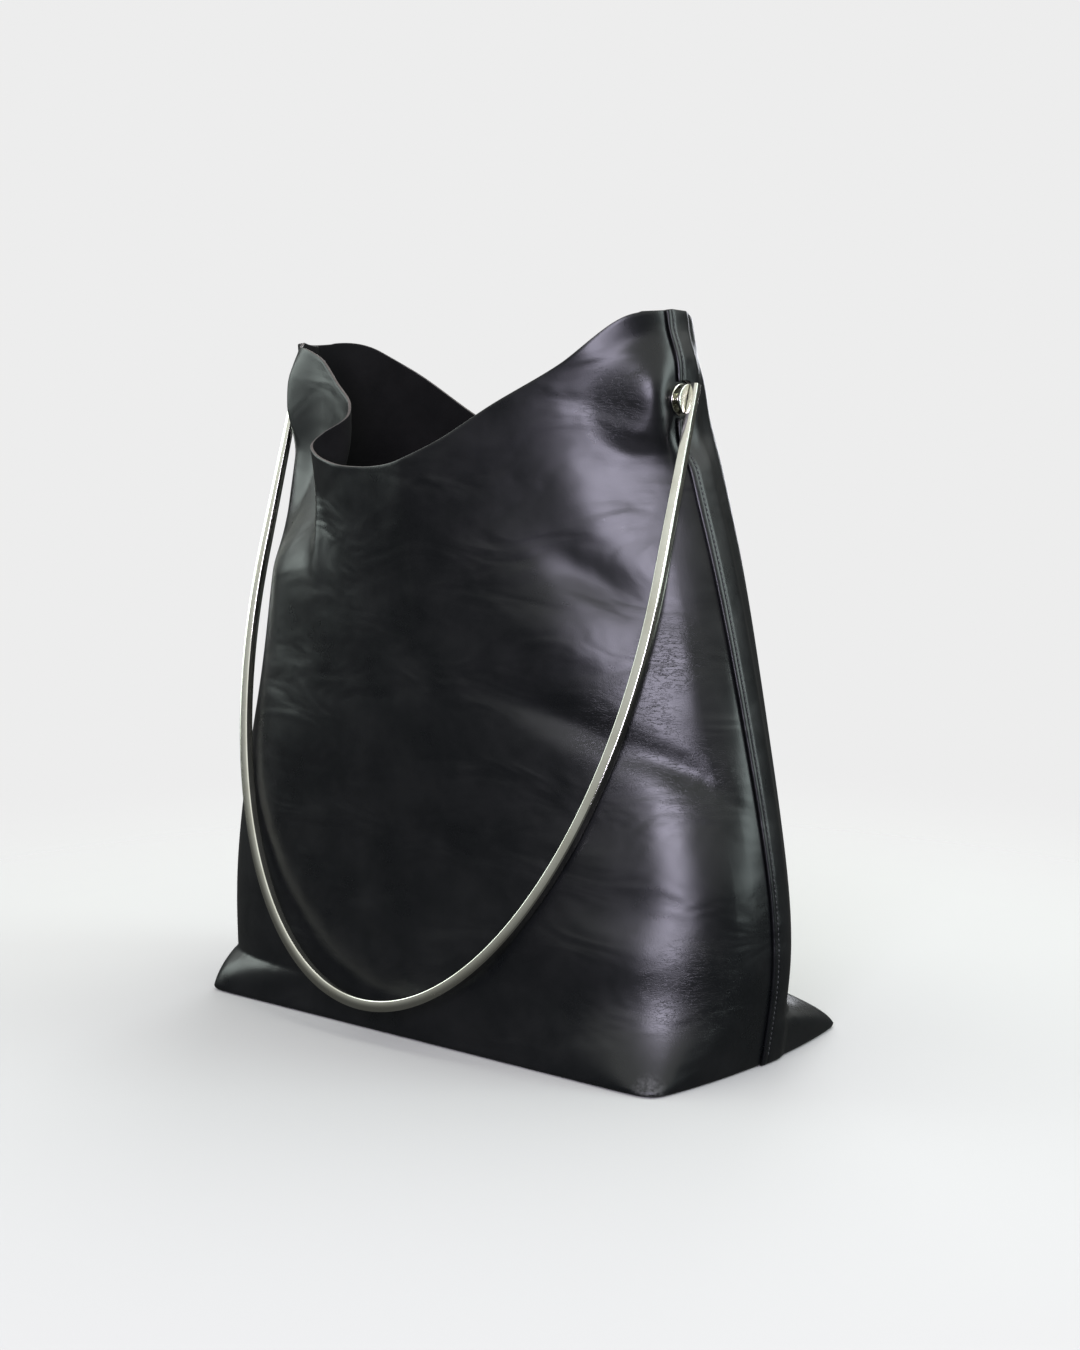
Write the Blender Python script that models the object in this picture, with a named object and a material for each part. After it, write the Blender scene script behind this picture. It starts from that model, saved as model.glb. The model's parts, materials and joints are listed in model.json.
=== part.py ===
"""A leather tote bag with one rigid metal hoop handle that swings on two screwed pivots.

Metres, +Z up. The origin is the centre of the base's underside. The front faces -Y, and X runs across the
bag, so the two side seams and the pivots lie at its +X (right) and -X (left) ends.
"""

import math

import bmesh
import bpy
import numpy as np

# Bag
BASE_WIDTH = 0.380
BASE_DEPTH = 0.200
BAG_HEIGHT = 0.457
LEFT_EAR_SAG = 0.017
SIDE_BULGE = 0.011
LEATHER = 0.002
GAP = 0.0003
EAR_FULLNESS = 0.985
EAR_FOLDED = (0.026, 1.5, 0.8)
EAR_SOFT = (0.060, 1.0, 2.0)
SAG_SHARE = 0.15

# Side seams: the back panel laps over the front panel's margin
LAP_GAP = 0.0005
LAP_EDGE = 0.004
LAP_MARGIN = 0.013
LAP_STATIONS = (-0.0045, 0.0, LAP_EDGE)
LAP_MIDDLE = 0.009
LAP_RISE = 0.017
LAP_RELEASE = 0.024

# Base: turned hems stand on the base panel, round a stiffener board
HEM = 0.009
HEM_LEAST = 0.0001
BASE_TOP = 0.002
BASE_INSET = 0.0005
WALL_BOTTOM = BASE_TOP + GAP
HEM_TOP = WALL_BOTTOM + LEATHER
BOARD_INSET = 0.015
BOARD_CORNER = 0.025

# Pivots
PIVOT_HEIGHT = 0.403
PIVOT_WALL = {"right": 0.1355, "left": -0.1895}
FLAT_HALF = 0.0195
FLAT_FADE = 0.045
FLAT_DEEP = 0.016
FLAT_REACH = 0.042
NOTCH_RADIUS = 0.0115
SHAFT_RADIUS = 0.0026
BORE_RADIUS = SHAFT_RADIUS + GAP
TUBE_RADIUS = 0.0045
HOLE_RADIUS = TUBE_RADIUS + GAP
SPACER_RADIUS = 0.0036
HEAD_RADIUS = 0.0060
WASHER_RADIUS = 0.0090
DISC_RADIUS = 0.0095
EYELET_RADIUS = 0.0100
PATCH_RADIUS = 0.0125
RIM = 0.0006
CUTTER_REACH = 0.020
CUTTER_SEGMENTS = 32
TURN_SEGMENTS = 40

# Hoop handle: straight legs into half an ellipse, in a plane that leans forward at its foot
HOOP_OFFSET = 0.0095
HOOP_CENTRE = (PIVOT_WALL["right"] + PIVOT_WALL["left"]) / 2
HOOP_HALF_WIDTH = (PIVOT_WALL["right"] - PIVOT_WALL["left"]) / 2 + HOOP_OFFSET
HOOP_LEG = 0.110
HOOP_DROP = 0.288
HOOP_END = 0.010
HOOP_TILT = math.radians(17)
BAR_WIDTH = 0.0070
BAR_DEPTH = 0.0062
BAR_CORNER = 0.0013
BAR_END_SCALE = 0.76
BAR_TAPER = 0.130
BAR_STEPS = 44
LEG_STEPS = 4
CORNER_POINTS = 3

# Height profiles as (height, value): where the seams stand, how deep the bag is, and how full each corner is.
# A fullness of 1 is a square corner, 0.707 an ellipse and 0.5 a straight line across it.
SEAM_RIGHT = ((0, 0.190), (0.06, 0.1978), (0.15, 0.1947), (0.25, 0.1785), (0.30, 0.1663), (0.36, 0.1481),
              (PIVOT_HEIGHT, 0.1355), (BAG_HEIGHT, 0.127))
SEAM_LEFT = ((0, -0.190), (0.06, -0.1978), (0.15, -0.2014), (0.25, -0.1972), (0.30, -0.1969), (0.36, -0.1932),
             (PIVOT_HEIGHT, -0.1895), (BAG_HEIGHT, -0.192))
FRONT_DEPTH = ((0, 0.100), (0.05, 0.0945), (0.10, 0.0901), (0.20, 0.0842), (0.30, 0.0814), (0.36, 0.0818),
               (BAG_HEIGHT, 0.0703))
BACK_DEPTH = ((0, 0.100), (0.05, 0.098), (0.10, 0.0941), (0.20, 0.088), (0.30, 0.085), (0.36, 0.088),
              (BAG_HEIGHT, 0.077))
BULGE_SHARE = ((0, 1.0), (0.06, 1.0), (0.20, 0.0), (BAG_HEIGHT, 0.0))
FULLNESS = {
    ("front", "right"): ((0, 0.84), (0.05, 0.825), (0.10, 0.795), (0.15, 0.735), (0.20, 0.69), (0.25, 0.655),
                         (0.30, 0.625), (0.36, 0.60), (PIVOT_HEIGHT, 0.64), (BAG_HEIGHT, 0.69)),
    ("front", "left"): ((0, 0.88), (0.08, 0.873), (0.20, 0.812), (0.29, 0.75), (0.36, 0.647),
                        (BAG_HEIGHT, 0.578)),
    ("back", "right"): ((0, 0.72), (0.08, 0.727), (0.20, 0.744), (0.30, 0.764), (BAG_HEIGHT, 0.757)),
    ("back", "left"): ((0, 0.80), (0.08, 0.791), (0.20, 0.761), (0.30, 0.741), (BAG_HEIGHT, 0.744)),
}

# How far the cut mouth dips below the ears, as (share of the way from right seam to left, dip)
MOUTH_DIP = {
    "front": ((0, 0), (0.08, 0.0036), (0.20, 0.0328), (0.32, 0.0567), (0.44, 0.0823), (0.56, 0.0965),
              (0.68, 0.086), (0.80, 0.0518), (0.92, 0.013), (1.0, 0)),
    "back": ((0, 0), (0.08, 0.004), (0.20, 0.035), (0.35, 0.0715), (0.50, 0.086), (0.65, 0.0746), (0.80, 0.035),
             (0.92, 0.0093), (1.0, 0)),
}

# The front panel's mouth is folded in beside the left seam: (share of the way from right seam to left, X, Y)
FOLD_LINE = ((0.50, -0.038, -0.080), (0.56, -0.0656, -0.0806), (0.62, -0.093, -0.0777),
             (0.66, -0.1122, -0.0702), (0.69, -0.1192, -0.0642), (0.72, -0.1157, -0.0557),
             (0.75, -0.107, -0.0445), (0.78, -0.110, -0.0375), (0.83, -0.1315, -0.029), (0.90, -0.1615, -0.0185),
             (0.96, -0.183, -0.007), (1.0, -0.192, 0.0))
FOLD_START = 0.285
FOLD_FULL = 0.385
FOLD_ENTRY = (0.50, 0.60)
FOLD_RELEASE = (0.88, 0.965)

# Grid of each panel
CORNER_SHARE = BASE_DEPTH / 2 / (BASE_DEPTH + BASE_WIDTH)
FLAT_LOW = PIVOT_HEIGHT - 0.014
FLAT_HIGH = PIVOT_HEIGHT + 0.014
ROW_HEIGHTS = (WALL_BOTTOM, 0.007, 0.012, 0.017, 0.021, 0.0245, 0.028, 0.036, 0.05, 0.07, 0.095, 0.125, 0.16,
               0.20, 0.24, 0.275, 0.305, 0.335, 0.362, FLAT_LOW, FLAT_HIGH, 0.437, BAG_HEIGHT)
RIGHT_SHARES = (0.07, 0.105, 0.14, 0.160, CORNER_SHARE, 0.185, 0.205, 0.24, 0.30, 0.37, 0.44, 0.50)
FOLD_SHARES = (0.56, 0.61, 0.65, 0.675, 0.70, 0.73, 0.755, 0.78, 0.80, 0.815, 1 - CORNER_SHARE, 0.84, 0.87,
               0.905, 0.935)
LOW_ROWS = 0.06
ARC_SAMPLES = 721
ARC_OVERRUN = 0.7
SLOPE_STEP = 0.0008
SHARP_ANGLE = math.radians(35)


def blend(low, high, at):
    """Smoothly from 0 at low to 1 at high."""
    t = np.clip((at - low) / (high - low), 0.0, 1.0)
    return t * t * (3 - 2 * t)


def along(knots, at):
    """A smooth curve through (position, value) knots, read at a position."""
    x, y = np.array(knots, float).T
    slope = np.gradient(y, x)
    i = int(np.clip(np.searchsorted(x, at) - 1, 0, len(x) - 2))
    step = x[i + 1] - x[i]
    t = float(np.clip((at - x[i]) / step, 0, 1))
    start = (1 + 2 * t) * (1 - t) ** 2 * y[i] + t * (1 - t) ** 2 * step * slope[i]
    return start + t * t * (3 - 2 * t) * y[i + 1] + t * t * (t - 1) * step * slope[i + 1]


def corner_power(side, end, z):
    """The superellipse power of one corner: full at the base ears, the body's own fullness above them."""
    body = along(FULLNESS[side, end], z)
    height, round_power, sweep = EAR_SOFT if (side, end) == ("front", "right") else EAR_FOLDED
    flare = max(0.0, 1 - (z / height) ** round_power) ** sweep
    return -math.log(2) / math.log(body + (EAR_FULLNESS - body) * flare)


def section(side, z):
    """Points round one panel's outer surface at a height, from past the right seam to past the left one.

    Returns the points and each one's distance along the panel, with 0 at the right seam.
    """
    turn = np.linspace(-ARC_OVERRUN, math.pi + ARC_OVERRUN, ARC_SAMPLES)
    cos, sin = np.cos(turn), np.sin(turn)
    right, left = along(SEAM_RIGHT, z), along(SEAM_LEFT, z)
    centre = (right + left) / 2
    half = (right - left) / 2
    depths = {"front": along(FRONT_DEPTH, z), "back": along(BACK_DEPTH, z)}
    other = {"front": "back", "back": "front"}[side]
    depth = np.where(sin >= 0, depths[side], depths[other])
    power = np.where(
        sin >= 0,
        np.where(cos >= 0, corner_power(side, "right", z), corner_power(side, "left", z)),
        np.where(cos >= 0, corner_power(other, "right", z), corner_power(other, "left", z)),
    )
    radius = ((np.abs(cos) / half) ** power + (np.abs(sin) / depth) ** power) ** (-1 / power)
    bulge = SIDE_BULGE * along(BULGE_SHARE, z)
    reach = radius * cos / half
    x = centre + radius * cos + bulge * reach * (1 - (radius * sin / depth) ** 2)
    y = radius * sin * (-1 if side == "front" else 1)
    points = np.stack([x, y, np.full_like(x, z)], axis=1)
    steps = np.linalg.norm(np.diff(points, axis=0), axis=1)
    distance = np.concatenate([[0], np.cumsum(steps)])
    distance -= np.interp(0, turn, distance)
    return points, distance, np.interp(math.pi, turn, distance)


def folded(point, share):
    """The front panel's mouth fold, full at the mouth and gone lower down."""
    shares, xs, ys = np.array(FOLD_LINE).T
    beside = blend(*FOLD_ENTRY, share) * (1 - blend(*FOLD_RELEASE, share))
    weight = blend(FOLD_START, FOLD_FULL, point[2]) * beside
    target = (along(np.stack([shares, xs], 1), share), along(np.stack([shares, ys], 1), share))
    point[0] += weight * (target[0] - point[0])
    point[1] += weight * (target[1] - point[1])
    return point


def flattened(point):
    """Leather is clamped flat round each pivot."""
    for wall in PIVOT_WALL.values():
        away = math.hypot(point[1], point[2] - PIVOT_HEIGHT)
        beside = 1 - blend(FLAT_DEEP, FLAT_REACH, abs(point[0] - wall))
        point[0] += (1 - blend(FLAT_HALF, FLAT_FADE, away)) * beside * (wall - point[0])
    return point


def surface(side, share, extra, z):
    """A point of the outer surface: a share of the way from the right seam to the left, plus a distance."""
    points, distance, length = section(side, z)
    at = share * length + extra
    point = np.array([np.interp(at, distance, points[:, k]) for k in range(3)])
    if side == "front" and share > 0.5:
        point = folded(point, min(share + extra / length, 1.0)) if at <= length else point
    return flattened(point)


def outward(side, share, extra, z):
    """The outer surface's unit normal, by differences."""
    low = max(z - SLOPE_STEP, 0.0)
    across = surface(side, share, extra + SLOPE_STEP, z) - surface(side, share, extra - SLOPE_STEP, z)
    up = surface(side, share, extra, z + SLOPE_STEP) - surface(side, share, extra, low)
    normal = np.cross(up, across) * (1 if side == "front" else -1)
    return normal / np.linalg.norm(normal)


def row_height(side, z, share):
    """A grid row's height at a place along the panel.

    The upper rows follow the cut mouth, high at the two seams and low between them; the left ear's tip sags.
    """
    if z <= LOW_ROWS:
        return z
    dip = along(MOUTH_DIP[side], share)
    above_pivot = max(z - FLAT_HIGH, 0) / (BAG_HEIGHT - FLAT_HIGH)
    sag = LEFT_EAR_SAG * (1 - blend(0.0, SAG_SHARE, 1 - share)) * above_pivot
    return z - dip * (z - LOW_ROWS) / (BAG_HEIGHT - LOW_ROWS) - sag


def columns(side):
    """(share, extra distance) of each grid column. Both panels share the stations where they lap."""
    left_shares = tuple(1 - s for s in reversed(RIGHT_SHARES[:-1]))
    if side == "front":
        extras = [-LAP_MARGIN, -LAP_MIDDLE, *LAP_STATIONS, LAP_MARGIN]
        left_shares = FOLD_SHARES
    else:
        extras = [*(-s for s in reversed(LAP_STATIONS)), LAP_MIDDLE, LAP_MARGIN, LAP_RISE, LAP_RELEASE]
    start = [(0, extra) for extra in extras]
    middle = [(share, 0) for share in RIGHT_SHARES + left_shares]
    return start + middle + [(1, -extra) for extra in reversed(extras)]


def seam_distance(share, extra):
    """How far a column is inside its own panel from the nearer seam line; negative past the seam."""
    return extra if share == 0 else -extra if share == 1 else 1.0


def lift(side, share, extra):
    """The back panel rides over the front panel's margin beside each seam."""
    if side == "front":
        return 0.0
    return (LAP_GAP + LEATHER) * (1 - blend(LAP_MARGIN, LAP_RELEASE, seam_distance(share, extra)))


def hem_point(inner, outer, share, extra):
    """The turned hem's inner edge, which shrinks to the wall's own thickness where the panels lap."""
    x, y = outer[0] * (1 - HEM / (BASE_WIDTH / 2)), outer[1] * (1 - HEM / (BASE_DEPTH / 2))
    turned_in = blend(LAP_MARGIN, 2 * LAP_RELEASE, seam_distance(share, extra))
    return inner + turned_in * (np.array([x, y, inner[2]]) - inner)


def panel_column(side, share, extra):
    """One closed loop of points: the hem, up the outer face, over the cut edge and down the inner face."""
    length = section(side, LOW_ROWS)[2]
    place = min(max(share + extra / length, 0), 1)
    mirrored = abs(extra) / length if share == 0 and extra < 0 else place
    if share == 1 and extra > 0:
        mirrored = 1 - extra / length
    raised = lift(side, share, extra)
    outer, inner = [], []
    for z in ROW_HEIGHTS:
        height = row_height(side, z, mirrored)
        base = surface(side, share, extra, height)
        normal = outward(side, share, extra, height)
        outer.append(base + normal * raised)
        if z == WALL_BOTTOM:
            level = np.array([normal[0], normal[1], 0]) / math.hypot(normal[0], normal[1])
            foot = base + level * (raised - LEATHER)
            outer[0] = base + level * raised
            foot[2] = HEM_TOP
            inner.append(foot)
        else:
            inner.append(base + normal * (raised - LEATHER))
    tucked = inner[0] + (inner[0] - outer[0]) * np.array([1, 1, 0]) * HEM_LEAST / LEATHER
    edge = hem_point(tucked, outer[0], share, extra)
    edge[2] = HEM_TOP
    under = edge.copy()
    under[2] = WALL_BOTTOM
    return [under] + outer + inner[::-1] + [edge]


def mesh_object(name, points, faces, material, parent=None):
    mesh = bpy.data.meshes.new(name)
    mesh.from_pydata([tuple(float(c) for c in p) for p in points], [], faces)
    work = bmesh.new()
    work.from_mesh(mesh)
    bmesh.ops.recalc_face_normals(work, faces=work.faces)
    work.to_mesh(mesh)
    work.free()
    mesh.shade_smooth()
    mesh.set_sharp_from_angle(angle=SHARP_ANGLE)
    mesh.materials.append(material)
    made = bpy.data.objects.new(name, mesh)
    made.parent = parent
    bpy.context.scene.collection.objects.link(made)
    return made


def strip_faces(loops, size):
    """Quads between neighbouring closed loops of points."""
    faces = []
    for i in range(loops - 1):
        for j in range(size):
            k = (j + 1) % size
            faces.append((i * size + j, i * size + k, (i + 1) * size + k, (i + 1) * size + j))
    return faces


def capped_faces(loops, size):
    """The same quads, with a flat face on the first loop and on the last."""
    return strip_faces(loops, size) + [tuple(range(size)), tuple(range((loops - 1) * size, loops * size))]


def edge_wall(first, size):
    """Quads that close a panel's end between its outer and inner faces, row by row."""
    rows = (size - 2) // 2
    faces = []
    for j in range(1, rows):
        faces.append((first + j, first + j + 1, first + size - 2 - j, first + size - 1 - j))
    faces.append((first, first + 1, first + size - 2, first + size - 1))
    return faces


def panel(side, material):
    loops = [panel_column(side, share, extra) for share, extra in columns(side)]
    size = len(loops[0])
    points = [p for loop in loops for p in loop]
    faces = strip_faces(len(loops), size)
    faces += edge_wall(0, size) + edge_wall((len(loops) - 1) * size, size)
    return mesh_object(f"{side}_panel", points, faces, material)


def turned(name, profile, material, segments=TURN_SEGMENTS, parent=None):
    """A closed (x, radius) profile turned about X. Radius 0 at both ends makes a solid piece, else a ring."""
    solid = profile[0][1] == 0
    rings = profile[1:-1] if solid else profile
    points = []
    for k in range(segments):
        turn = 2 * math.pi * k / segments
        points += [(x, r * math.cos(turn), r * math.sin(turn)) for x, r in rings]
    count = len(rings)
    faces = []
    for k in range(segments):
        start, after = k * count, (k + 1) % segments * count
        for j in range(count - 1 if solid else count):
            i = (j + 1) % count
            faces.append((start + j, start + i, after + i, after + j))
    if solid:
        points += [(profile[0][0], 0, 0), (profile[-1][0], 0, 0)]
        for k in range(segments):
            start, after = k * count, (k + 1) % segments * count
            faces.append((start, after, len(points) - 2))
            faces.append((start + count - 1, after + count - 1, len(points) - 1))
    return mesh_object(name, points, faces, material, parent)


def cut(target, cutter):
    cutter.hide_render = True
    cutter.display_type = "WIRE"
    modifier = target.modifiers.new(f"cut_{cutter.name}", "BOOLEAN")
    modifier.operation = "DIFFERENCE"
    modifier.solver = "EXACT"
    modifier.object = cutter


def at_wall(end, profile):
    """A profile given outwards from the pivot wall's face, as world X."""
    wall = PIVOT_WALL[end]
    sign = 1 if wall > 0 else -1
    return [(wall + sign * x, r) for x, r in profile]


def raise_to_pivot(piece):
    piece.location.z = PIVOT_HEIGHT
    return piece


def pivot_cutter(name, end, radius):
    """A round cutter through one pivot wall, turned by half a facet so that no corner lies on the seam line."""
    profile = [(-CUTTER_REACH, 0), (-CUTTER_REACH, radius), (CUTTER_REACH, radius), (CUTTER_REACH, 0)]
    cutter = turned(name, at_wall(end, profile), None, CUTTER_SEGMENTS)
    cutter.rotation_euler.x = math.pi / CUTTER_SEGMENTS
    return raise_to_pivot(cutter)


def eyelet_outer(end, metal):
    profile = [(0.0013, BORE_RADIUS), (0.0013, EYELET_RADIUS - RIM), (0.0010, EYELET_RADIUS),
               (GAP, EYELET_RADIUS), (GAP, TUBE_RADIUS), (-0.0049, TUBE_RADIUS), (-0.0049, BORE_RADIUS)]
    return raise_to_pivot(turned(f"{end}_eyelet_outer", at_wall(end, profile), metal))


def eyelet_inner(end, metal):
    profile = [(-0.0038, HOLE_RADIUS), (-0.0038, WASHER_RADIUS), (-0.0045, WASHER_RADIUS),
               (-0.0048, WASHER_RADIUS - RIM), (-0.0048, HOLE_RADIUS)]
    return raise_to_pivot(turned(f"{end}_eyelet_inner", at_wall(end, profile), metal))


def pivot_patch(end, leather):
    profile = [(-0.0023, HOLE_RADIUS), (-0.0023, PATCH_RADIUS),
               (-0.0035, PATCH_RADIUS), (-0.0035, HOLE_RADIUS)]
    return raise_to_pivot(turned(f"{end}_pivot_patch", at_wall(end, profile), leather))


def pivot_screw(end, metal, hinge):
    profile = [(-0.0074, 0), (-0.0074, HEAD_RADIUS - RIM), (-0.0068, HEAD_RADIUS), (-0.0052, HEAD_RADIUS),
               (-0.0052, SHAFT_RADIUS), (0.0061, SHAFT_RADIUS), (0.0061, 0)]
    return turned(f"{end}_pivot_screw", at_wall(end, profile), metal, parent=hinge)


def spacer(end, metal, hinge):
    profile = [(0.0016, BORE_RADIUS), (0.0016, SPACER_RADIUS), (0.0045, SPACER_RADIUS), (0.0045, BORE_RADIUS)]
    return turned(f"{end}_spacer", at_wall(end, profile), metal, parent=hinge)


def hub_disc(end, metal, hinge):
    profile = [(0.0048, BORE_RADIUS), (0.0048, DISC_RADIUS - RIM), (0.0051, DISC_RADIUS),
               (0.0062, DISC_RADIUS), (0.0065, DISC_RADIUS - RIM), (0.0065, BORE_RADIUS)]
    return turned(f"{end}_hub_disc", at_wall(end, profile), metal, parent=hinge)


def hoop_path():
    """(x, distance below the pivots) along the bar's centre line, from the right end to the left."""
    leg = [-HOOP_END + (HOOP_LEG + HOOP_END) * k / LEG_STEPS for k in range(LEG_STEPS)]
    turns = [math.pi * k / BAR_STEPS for k in range(BAR_STEPS + 1)]
    right = [(HOOP_CENTRE + HOOP_HALF_WIDTH, s) for s in leg]
    bow = [(HOOP_CENTRE + HOOP_HALF_WIDTH * math.cos(t), HOOP_LEG + HOOP_DROP * math.sin(t)) for t in turns]
    left = [(HOOP_CENTRE - HOOP_HALF_WIDTH, s) for s in reversed(leg)]
    return right + bow + left


def bar_section(scale):
    """The bar's rounded rectangle: (outwards, across), with CORNER_POINTS points on each corner."""
    points = []
    for corner, (u, v) in enumerate(((1, 1), (-1, 1), (-1, -1), (1, -1))):
        for k in range(CORNER_POINTS):
            turn = math.radians(90 * corner + 90 * k / (CORNER_POINTS - 1))
            points.append((u * (BAR_WIDTH / 2 - BAR_CORNER) + BAR_CORNER * math.cos(turn),
                           v * (BAR_DEPTH / 2 - BAR_CORNER) + BAR_CORNER * math.sin(turn)))
    return [(u * scale, v * scale) for u, v in points]


def handle_bar(metal, hinge):
    path = np.array(hoop_path())
    tangents = np.gradient(path, axis=0)
    tangents /= np.linalg.norm(tangents, axis=1)[:, None]
    points = []
    for (x, below), (tx, ts) in zip(path, tangents):
        scale = BAR_END_SCALE + (1 - BAR_END_SCALE) * blend(-HOOP_END, BAR_TAPER, below)
        for out, across in bar_section(scale):
            points.append((x + ts * out, across, -(below - tx * out)))
    return mesh_object("handle_bar", points, capped_faces(len(path), 4 * CORNER_POINTS), metal, hinge)


def base_outline(inset):
    """The base's outline just inside the walls' feet: along the front from right to left, and back behind."""
    between = [*RIGHT_SHARES, *(1 - s for s in reversed(RIGHT_SHARES[:-1]))]
    walk = [("front", share) for share in [0.0, *between, 1.0]]
    walk += [("back", share) for share in reversed(between)]
    outline = []
    for side, share in walk:
        x, y, _ = surface(side, share, 0, 0.0)
        outline.append((x * (1 - inset / (BASE_WIDTH / 2)), y * (1 - inset / (BASE_DEPTH / 2))))
    return outline


def plate(name, outline, low, high, material):
    count = len(outline)
    points = [(x, y, low) for x, y in outline] + [(x, y, high) for x, y in outline]
    return mesh_object(name, points, capped_faces(2, count), material)


def rounded_rectangle(width, depth, radius, steps=6):
    outline = []
    for corner, (u, v) in enumerate(((1, 1), (-1, 1), (-1, -1), (1, -1))):
        for k in range(steps + 1):
            turn = math.radians(90 * corner + 90 * k / steps)
            outline.append((u * (width / 2 - radius) + radius * math.cos(turn),
                            v * (depth / 2 - radius) + radius * math.sin(turn)))
    return outline


def finish(name, colour, roughness, metallic=0.0):
    material = bpy.data.materials.new(name)
    material.use_nodes = True
    shader = material.node_tree.nodes["Principled BSDF"]
    shader.inputs["Base Color"].default_value = (*colour, 1)
    shader.inputs["Roughness"].default_value = roughness
    shader.inputs["Metallic"].default_value = metallic
    return material


def build():
    for old in list(bpy.data.objects):
        bpy.data.objects.remove(old, do_unlink=True)
    leather = finish("black_leather", (0.012, 0.012, 0.013), 0.38)
    metal = finish("polished_nickel", (0.72, 0.71, 0.66), 0.14, 1.0)
    board = finish("grey_board", (0.05, 0.05, 0.05), 0.9)
    hinge = bpy.data.objects.new("handle_hinge", None)
    hinge.location.z = PIVOT_HEIGHT
    hinge.rotation_euler.x = -HOOP_TILT
    bpy.context.scene.collection.objects.link(hinge)
    front = panel("front", leather)
    back = panel("back", leather)
    plate("base_panel", base_outline(BASE_INSET), 0.0, BASE_TOP, leather)
    board_outline = rounded_rectangle(BASE_WIDTH - 2 * BOARD_INSET, BASE_DEPTH - 2 * BOARD_INSET, BOARD_CORNER)
    plate("base_board", board_outline, WALL_BOTTOM, HEM_TOP, board)
    handle_bar(metal, hinge)
    for end in PIVOT_WALL:
        cut(front, pivot_cutter(f"{end}_hole_cutter", end, HOLE_RADIUS))
        cut(back, pivot_cutter(f"{end}_notch_cutter", end, NOTCH_RADIUS))
        eyelet_outer(end, metal)
        eyelet_inner(end, metal)
        pivot_patch(end, leather)
        pivot_screw(end, metal, hinge)
        spacer(end, metal, hinge)
        hub_disc(end, metal, hinge)


build()
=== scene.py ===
"""Looks of a leather tote bag with one rigid metal hoop handle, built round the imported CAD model.

Metres, +Z up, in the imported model's frame: the base's underside is at Z = 0, the front faces -Y, and the side
seams and pivots lie at the +X (right) and -X (left) ends. The leather panels follow the CAD panels' height
profiles on a finer grid, with rolled feet, cut edges, a stitched lap and soft dents.
"""

import json
import math

import bmesh
import bpy
import numpy as np
from mathutils import Matrix, Vector

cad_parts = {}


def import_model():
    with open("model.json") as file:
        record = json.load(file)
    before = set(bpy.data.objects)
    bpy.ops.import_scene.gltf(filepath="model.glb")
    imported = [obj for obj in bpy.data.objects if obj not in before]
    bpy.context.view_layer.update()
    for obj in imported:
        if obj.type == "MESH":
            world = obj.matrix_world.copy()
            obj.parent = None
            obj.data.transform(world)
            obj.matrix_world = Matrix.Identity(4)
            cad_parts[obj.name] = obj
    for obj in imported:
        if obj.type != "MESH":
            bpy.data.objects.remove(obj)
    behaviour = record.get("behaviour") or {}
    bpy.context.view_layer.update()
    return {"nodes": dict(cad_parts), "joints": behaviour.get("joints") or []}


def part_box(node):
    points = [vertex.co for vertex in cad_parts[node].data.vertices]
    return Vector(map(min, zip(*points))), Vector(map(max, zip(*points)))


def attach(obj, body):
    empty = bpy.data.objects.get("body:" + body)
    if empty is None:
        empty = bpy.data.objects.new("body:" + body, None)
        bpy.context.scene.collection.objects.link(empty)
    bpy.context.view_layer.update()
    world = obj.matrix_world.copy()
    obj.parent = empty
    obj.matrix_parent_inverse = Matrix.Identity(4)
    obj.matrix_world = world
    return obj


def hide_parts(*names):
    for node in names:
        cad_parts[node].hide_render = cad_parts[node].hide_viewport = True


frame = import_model()

# Driving dimensions, from the frame
PIVOT_HEIGHT = frame["joints"][0]["pos_m"][2]
BAG_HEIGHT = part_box("back_panel")[1].z
EYELET_PROUD = 0.0013
PIVOT_WALL = {
    "right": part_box("right_eyelet_outer")[1].x - EYELET_PROUD,
    "left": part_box("left_eyelet_outer")[0].x + EYELET_PROUD,
}

# Leather
LEATHER = 0.002
BASE_WIDTH = 0.380
BASE_DEPTH = 0.200
SIDE_BULGE = 0.011

# The base's corners flare out to nearly square at the floor, the front right one from higher up and more
# softly than the other three: (height of the flare, its round power, its sweep)
EAR_FULLNESS = 0.985
EAR_FOLDED = (0.026, 1.5, 0.8)
EAR_SOFT = (0.060, 1.0, 2.0)

# The mouth's left tip sags above the pivot, and rows below LOW_ROWS stay level
LEFT_EAR_SAG = 0.017
SAG_SHARE = 0.15
SAG_START = PIVOT_HEIGHT + 0.014
LOW_ROWS = 0.06

# At each seam the back panel laps over the front panel's margin
LAP_GAP = 0.0005
LAP_EDGE = 0.004
LAP_EDGE_SOFT = 0.0010
LAP_MARGIN = 0.013
LAP_RELEASE = 0.024

# Round each pivot the leather is flat as far as FLAT_HALF and free beyond FLAT_FADE. Leather that stands off
# the wall's plane by more than FLAT_DEEP is pulled less, and by more than FLAT_REACH not at all.
FLAT_HALF = 0.0160
FLAT_FADE = 0.045
FLAT_DEEP = 0.016
FLAT_REACH = 0.042

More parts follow.
